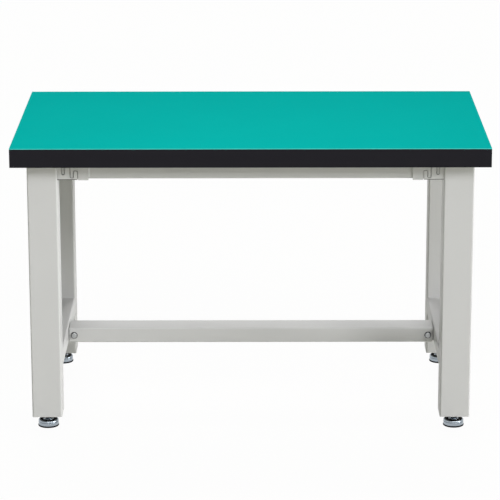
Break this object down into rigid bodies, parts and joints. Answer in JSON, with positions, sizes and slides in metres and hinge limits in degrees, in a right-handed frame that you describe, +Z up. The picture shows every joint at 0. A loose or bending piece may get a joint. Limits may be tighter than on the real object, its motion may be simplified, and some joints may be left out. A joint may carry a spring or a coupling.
{
  "type": "work table",
  "caption": "Heavy rectangular work table with a matted top on a folded steel frame with a mid-depth stretcher and levelling feet, for lab instruments and bench work.",
  "frame": {"origin": "on the floor under the middle of the top", "axes": "+X to the right along the length, -Y towards the front, +Z up"},
  "size_m": [1.2, 0.7, 0.75],
  "materials": {
    "powder_coat": "satin light grey powder coat with a fine texture",
    "green_mat": "matt teal-green vinyl mat",
    "black_band": "satin black edge band",
    "core_board": "raw particle board",
    "backer_sheet": "matt backing laminate",
    "plated_steel": "bright blue-passivated zinc plating on turned steel",
    "zinc_fastener": "zinc plated steel",
    "black_steel": "black oxide on steel, lightly oiled",
    "black_rubber": "matt black rubber"
  },
  "bodies": {
    "frame": {"worktop_mat": "green_mat", "worktop_core": "core_board", "worktop_backer": "backer_sheet", "front_beam": "powder_coat", "rear_beam": "powder_coat", "stretcher": "powder_coat", "edge_band_front": "black_band", "edge_band_rear": "black_band", "edge_band_left": "black_band", "edge_band_right": "black_band", "upper_side_rail_left": "powder_coat", "lower_side_rail_left": "powder_coat", "stretcher_bracket_left": "powder_coat", "upper_side_rail_right": "powder_coat", "lower_side_rail_right": "powder_coat", "stretcher_bracket_right": "powder_coat", "leg_front_left": "powder_coat", "beam_cradle_front_left": "powder_coat", "beam_hook_front_left": "powder_coat", "foot_plate_front_left": "powder_coat", "stretcher_bolt_front_left": "zinc_fastener", "top_screw_front_left": "zinc_fastener", "leg_front_right": "powder_coat", "beam_cradle_front_right": "powder_coat", "beam_hook_front_right": "powder_coat", "foot_plate_front_right": "powder_coat", "stretcher_bolt_front_right": "zinc_fastener", "top_screw_front_right": "zinc_fastener", "leg_rear_left": "powder_coat", "beam_cradle_rear_left": "powder_coat", "beam_hook_rear_left": "powder_coat", "foot_plate_rear_left": "powder_coat", "stretcher_bolt_rear_left": "zinc_fastener", "top_screw_rear_left": "zinc_fastener", "leg_rear_right": "powder_coat", "beam_cradle_rear_right": "powder_coat", "beam_hook_rear_right": "powder_coat", "foot_plate_rear_right": "powder_coat", "stretcher_bolt_rear_right": "zinc_fastener", "top_screw_rear_right": "zinc_fastener"},
    "foot_base_front_left": {"foot_base_front_left": "plated_steel", "foot_pad_front_left": "black_rubber"},
    "foot_stem_front_left": {"foot_stem_front_left": "plated_steel"},
    "foot_washer_front_left": {"foot_washer_front_left": "black_steel"},
    "foot_lock_nut_front_left": {"foot_lock_nut_front_left": "black_steel"},
    "foot_base_front_right": {"foot_base_front_right": "plated_steel", "foot_pad_front_right": "black_rubber"},
    "foot_stem_front_right": {"foot_stem_front_right": "plated_steel"},
    "foot_washer_front_right": {"foot_washer_front_right": "black_steel"},
    "foot_lock_nut_front_right": {"foot_lock_nut_front_right": "black_steel"},
    "foot_base_rear_left": {"foot_base_rear_left": "plated_steel", "foot_pad_rear_left": "black_rubber"},
    "foot_stem_rear_left": {"foot_stem_rear_left": "plated_steel"},
    "foot_washer_rear_left": {"foot_washer_rear_left": "black_steel"},
    "foot_lock_nut_rear_left": {"foot_lock_nut_rear_left": "black_steel"},
    "foot_base_rear_right": {"foot_base_rear_right": "plated_steel", "foot_pad_rear_right": "black_rubber"},
    "foot_stem_rear_right": {"foot_stem_rear_right": "plated_steel"},
    "foot_washer_rear_right": {"foot_washer_rear_right": "black_steel"},
    "foot_lock_nut_rear_right": {"foot_lock_nut_rear_right": "black_steel"}
  },
  "joints": [
    {"name": "foot_height_front_left", "type": "slide", "parent": "frame", "child": "foot_base_front_left", "axis": [0, 0, -1], "range_m": [0, 0.02]},
    {"name": "stem_turn_front_left", "type": "hinge", "parent": "foot_base_front_left", "child": "foot_stem_front_left", "pos_m": [-0.523, -0.273, 0.034], "axis": [0, 0, -1], "range_deg": [0, 3600]},
    {"name": "washer_drop_front_left", "type": "slide", "parent": "frame", "child": "foot_washer_front_left", "axis": [0, 0, -1], "range_m": [0, 0.002]},
    {"name": "lock_nut_turn_front_left", "type": "hinge", "parent": "foot_washer_front_left", "child": "foot_lock_nut_front_left", "pos_m": [-0.523, -0.273, 0.034], "axis": [0, 0, -1], "range_deg": [0, 360]},
    {"name": "foot_height_front_right", "type": "slide", "parent": "frame", "child": "foot_base_front_right", "axis": [0, 0, -1], "range_m": [0, 0.02]},
    {"name": "stem_turn_front_right", "type": "hinge", "parent": "foot_base_front_right", "child": "foot_stem_front_right", "pos_m": [0.523, -0.273, 0.034], "axis": [0, 0, -1], "range_deg": [0, 3600]},
    {"name": "washer_drop_front_right", "type": "slide", "parent": "frame", "child": "foot_washer_front_right", "axis": [0, 0, -1], "range_m": [0, 0.002]},
    {"name": "lock_nut_turn_front_right", "type": "hinge", "parent": "foot_washer_front_right", "child": "foot_lock_nut_front_right", "pos_m": [0.523, -0.273, 0.034], "axis": [0, 0, -1], "range_deg": [0, 360]},
    {"name": "foot_height_rear_left", "type": "slide", "parent": "frame", "child": "foot_base_rear_left", "axis": [0, 0, -1], "range_m": [0, 0.02]},
    {"name": "stem_turn_rear_left", "type": "hinge", "parent": "foot_base_rear_left", "child": "foot_stem_rear_left", "pos_m": [-0.523, 0.273, 0.034], "axis": [0, 0, -1], "range_deg": [0, 3600]},
    {"name": "washer_drop_rear_left", "type": "slide", "parent": "frame", "child": "foot_washer_rear_left", "axis": [0, 0, -1], "range_m": [0, 0.002]},
    {"name": "lock_nut_turn_rear_left", "type": "hinge", "parent": "foot_washer_rear_left", "child": "foot_lock_nut_rear_left", "pos_m": [-0.523, 0.273, 0.034], "axis": [0, 0, -1], "range_deg": [0, 360]},
    {"name": "foot_height_rear_right", "type": "slide", "parent": "frame", "child": "foot_base_rear_right", "axis": [0, 0, -1], "range_m": [0, 0.02]},
    {"name": "stem_turn_rear_right", "type": "hinge", "parent": "foot_base_rear_right", "child": "foot_stem_rear_right", "pos_m": [0.523, 0.273, 0.034], "axis": [0, 0, -1], "range_deg": [0, 3600]},
    {"name": "washer_drop_rear_right", "type": "slide", "parent": "frame", "child": "foot_washer_rear_right", "axis": [0, 0, -1], "range_m": [0, 0.002]},
    {"name": "lock_nut_turn_rear_right", "type": "hinge", "parent": "foot_washer_rear_right", "child": "foot_lock_nut_rear_right", "pos_m": [0.523, 0.273, 0.034], "axis": [0, 0, -1], "range_deg": [0, 360]}
  ],
  "couplings": [
    {"joint": "stem_turn_front_left", "follows": "foot_height_front_left", "rad_per_m": 3141.6},
    {"joint": "lock_nut_turn_front_left", "follows": "washer_drop_front_left", "rad_per_m": 3141.6},
    {"joint": "stem_turn_front_right", "follows": "foot_height_front_right", "rad_per_m": 3141.6},
    {"joint": "lock_nut_turn_front_right", "follows": "washer_drop_front_right", "rad_per_m": 3141.6},
    {"joint": "stem_turn_rear_left", "follows": "foot_height_rear_left", "rad_per_m": 3141.6},
    {"joint": "lock_nut_turn_rear_left", "follows": "washer_drop_rear_left", "rad_per_m": 3141.6},
    {"joint": "stem_turn_rear_right", "follows": "foot_height_rear_right", "rad_per_m": 3141.6},
    {"joint": "lock_nut_turn_rear_right", "follows": "washer_drop_rear_right", "rad_per_m": 3141.6}
  ]
}
